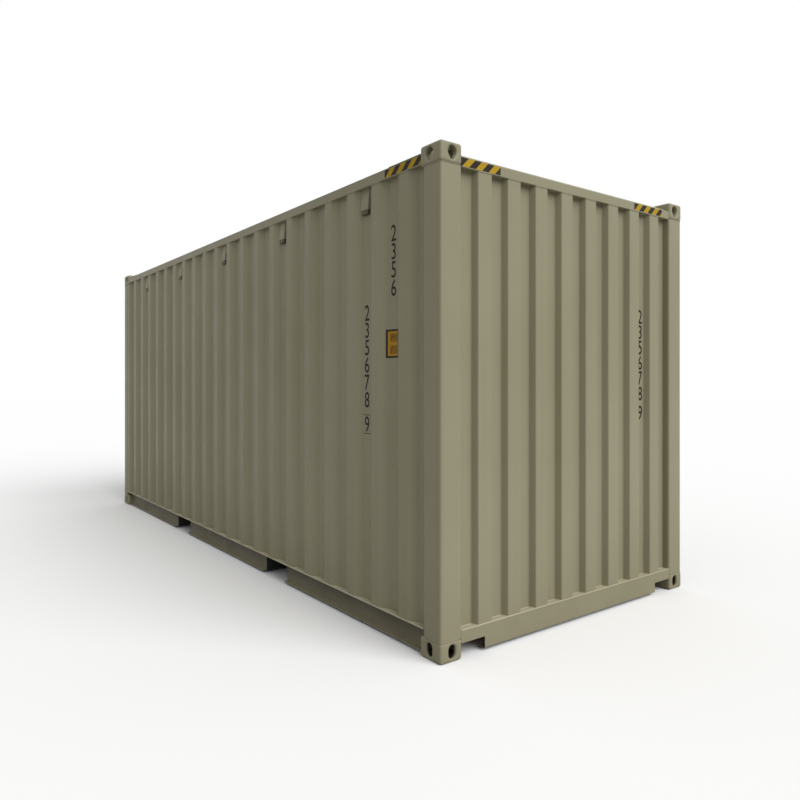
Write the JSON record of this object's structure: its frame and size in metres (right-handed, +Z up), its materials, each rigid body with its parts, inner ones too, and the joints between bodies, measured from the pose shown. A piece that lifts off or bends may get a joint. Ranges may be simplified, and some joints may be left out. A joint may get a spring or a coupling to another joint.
{
  "type": "shipping container",
  "caption": "High-cube steel freight container with corrugated walls, ribbed roof, slotted corner castings, fork pockets, wall ventilators and closed cargo doors with locking bars.",
  "frame": {"origin": "middle of the bounding box at ground level, between the bottom corner castings", "axes": "+X along the length towards the blind front end (the doors face -X), +Y towards the left-hand side as seen by someone facing the doors, +Z up"},
  "size_m": [6.058, 2.438, 2.896],
  "materials": {
    "paint": "satin, weathered",
    "undercoat": "matte, waxy",
    "plywood": "matte",
    "rubber": "matte",
    "zinc": "galvanised, dull"
  },
  "bodies": {
    "root": {"bottom_corner_castings": "paint", "top_corner_castings": "paint", "front_right_post": "paint", "front_left_post": "paint", "rear_right_post": "paint", "rear_left_post": "paint", "right_bottom_rail": "paint", "left_bottom_rail": "paint", "fork_pocket_straps": "paint", "right_top_rail": "paint", "left_top_rail": "paint", "front_sill": "paint", "front_top_rail": "paint", "front_header_plate": "paint", "door_sill": "paint", "door_header": "paint", "rear_header_plate": "paint", "right_side_wall": "paint", "left_side_wall": "paint", "front_wall": "paint", "roof_panel": "paint", "roof_corner_plates": "paint", "floor_boards": "plywood", "cross_members": "undercoat", "fork_pockets": "undercoat", "fork_pocket_tops": "undercoat", "right_vents": "paint", "left_vents": "paint", "right_door_frame": "paint", "left_door_frame": "paint", "right_door_panel": "paint", "left_door_panel": "paint", "right_door_seal": "rubber", "left_door_seal": "rubber", "right_outer_bar": "paint", "right_inner_bar": "paint", "left_inner_bar": "paint", "left_outer_bar": "paint", "bar_guides": "zinc", "cam_keepers": "zinc", "door_handles": "zinc", "handle_catches": "zinc", "right_hinges": "paint", "left_hinges": "paint"}
  },
  "joints": []
}
